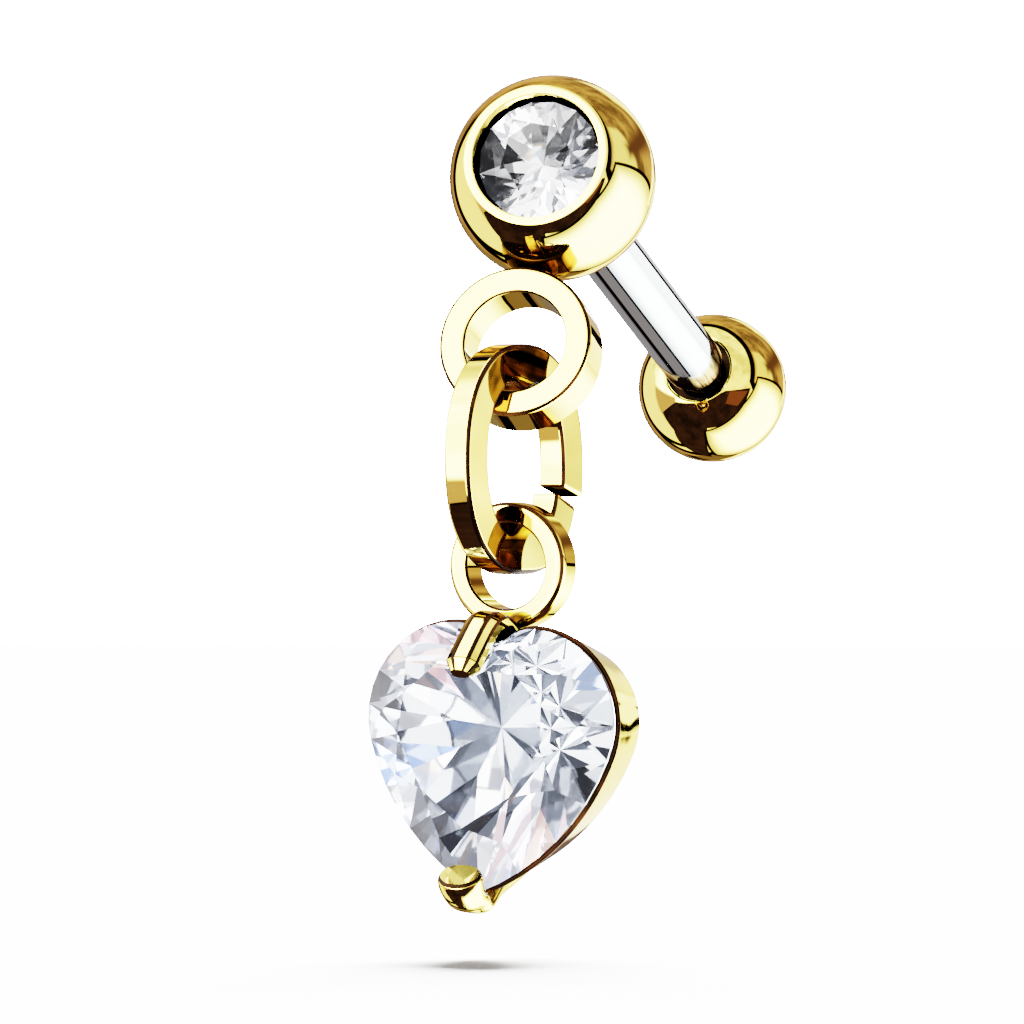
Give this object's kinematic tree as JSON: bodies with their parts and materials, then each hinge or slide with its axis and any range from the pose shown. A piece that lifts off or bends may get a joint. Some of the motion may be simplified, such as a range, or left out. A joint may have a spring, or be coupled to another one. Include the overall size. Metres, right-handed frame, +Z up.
{
  "type": "cartilage barbell",
  "caption": "Gold tone cartilage barbell: straight steel post, gem-set front ball, plain screw-on back ball, and a heart-cut clear stone in a pronged setting hanging from an oval jump link.",
  "frame": {"origin": "middle of the stretch of post between the two balls, where it sits in the ear", "axes": "+Z is up as worn. The post lies in the Y-Z plane with its gem end towards -Y, 17 degrees above level. +X is to the right seen from the gem end."},
  "size_m": [0.0053, 0.0179, 0.0161],
  "materials": {
    "gold_tone": "mirror polished gold plating",
    "steel": "polished surgical steel",
    "clear_stone": "clear faceted cubic zirconia"
  },
  "bodies": {
    "barbell": {"gem_ball": "gold_tone", "gem_stone": "clear_stone", "post": "steel"},
    "back": {"back_ball": "gold_tone"},
    "link": {"jump_link": "gold_tone"},
    "drop": {"heart_setting": "gold_tone", "heart_stone": "clear_stone"}
  },
  "joints": [
    {"name": "back_ball_draw", "type": "slide", "parent": "barbell", "child": "back", "axis": [0, 0.9563, -0.2924], "range_m": [0, 0.012]},
    {"name": "link_swing", "type": "hinge", "parent": "barbell", "child": "link", "pos_m": [-0.00036, -0.00771, -0.00127], "axis": [0, -0.9563, 0.2924], "range_deg": [-60, 60]},
    {"name": "drop_swing", "type": "hinge", "parent": "link", "child": "drop", "pos_m": [-0.00043, -0.0081, -0.00544], "axis": [-0.1908, -0.9816, 0], "range_deg": [-60, 60]}
  ]
}
